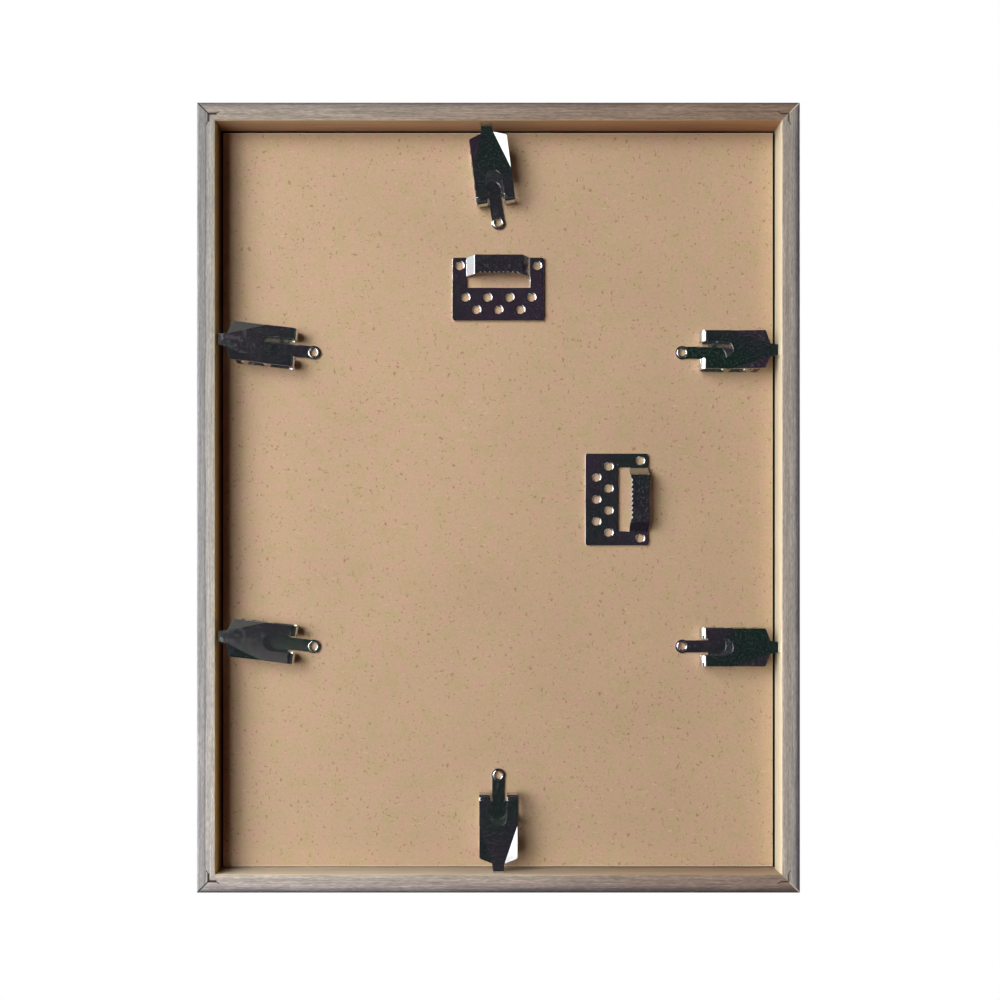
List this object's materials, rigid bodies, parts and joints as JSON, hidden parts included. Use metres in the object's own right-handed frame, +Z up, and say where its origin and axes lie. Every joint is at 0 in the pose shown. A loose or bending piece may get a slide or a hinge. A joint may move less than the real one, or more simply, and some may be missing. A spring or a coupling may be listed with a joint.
{
  "type": "clip-back picture frame",
  "caption": "Mitred wooden picture frame, seen from its back: a board held in the rebate by sliding spring clips, with toothed hangers for upright or sideways hanging.",
  "frame": {"origin": "the point of the wall where the nail of the upright hanger comes out, on the plane of the rails' back faces, behind the middle notch of the arch", "axes": "+Z up as the frame hangs upright, -Y out of the frame's back towards the wall, +Y out of the glass into the room, +X to the right of someone who looks at the back"},
  "size_m": [0.322, 0.02, 0.422],
  "materials": {
    "washed_wood": "grey-washed, matt",
    "hardboard": "smooth fibreboard, matt",
    "picture_paper": "matt paper",
    "glass": "clear",
    "nail_steel": "dull steel",
    "hanger_steel": "bright zinc plate",
    "clip_steel": "bright nickel plate"
  },
  "bodies": {
    "frame": {"rail_top": "washed_wood", "rail_bottom": "washed_wood", "rail_left": "washed_wood", "rail_right": "washed_wood", "corner_nail_top_left": "nail_steel", "corner_nail_top_right": "nail_steel", "corner_nail_bottom_left": "nail_steel", "corner_nail_bottom_right": "nail_steel", "glass_pane": "glass", "picture_sheet": "picture_paper", "backing_board": "hardboard", "hanger_upright": "hanger_steel", "hanger_sideways": "hanger_steel"},
    "clip_top": {"clip_top": "clip_steel"},
    "clip_bottom": {"clip_bottom": "clip_steel"},
    "clip_left_upper": {"clip_left_upper": "clip_steel"},
    "clip_left_lower": {"clip_left_lower": "clip_steel"},
    "clip_right_upper": {"clip_right_upper": "clip_steel"},
    "clip_right_lower": {"clip_right_lower": "clip_steel"}
  },
  "joints": [
    {"name": "clip_top_slide", "type": "slide", "parent": "frame", "child": "clip_top", "axis": [0.1323, 0, -0.9912], "range_m": [0, 0.008]},
    {"name": "clip_bottom_slide", "type": "slide", "parent": "frame", "child": "clip_bottom", "axis": [0, 0, 1], "range_m": [0, 0.008]},
    {"name": "clip_left_upper_slide", "type": "slide", "parent": "frame", "child": "clip_left_upper", "axis": [0.994, 0, -0.1097], "range_m": [0, 0.008]},
    {"name": "clip_left_lower_slide", "type": "slide", "parent": "frame", "child": "clip_left_lower", "axis": [0.9925, 0, -0.1219], "range_m": [0, 0.008]},
    {"name": "clip_right_upper_slide", "type": "slide", "parent": "frame", "child": "clip_right_upper", "axis": [-1, 0, 0.0087], "range_m": [0, 0.008]},
    {"name": "clip_right_lower_slide", "type": "slide", "parent": "frame", "child": "clip_right_lower", "axis": [-1, 0, 0], "range_m": [0, 0.008]}
  ]
}
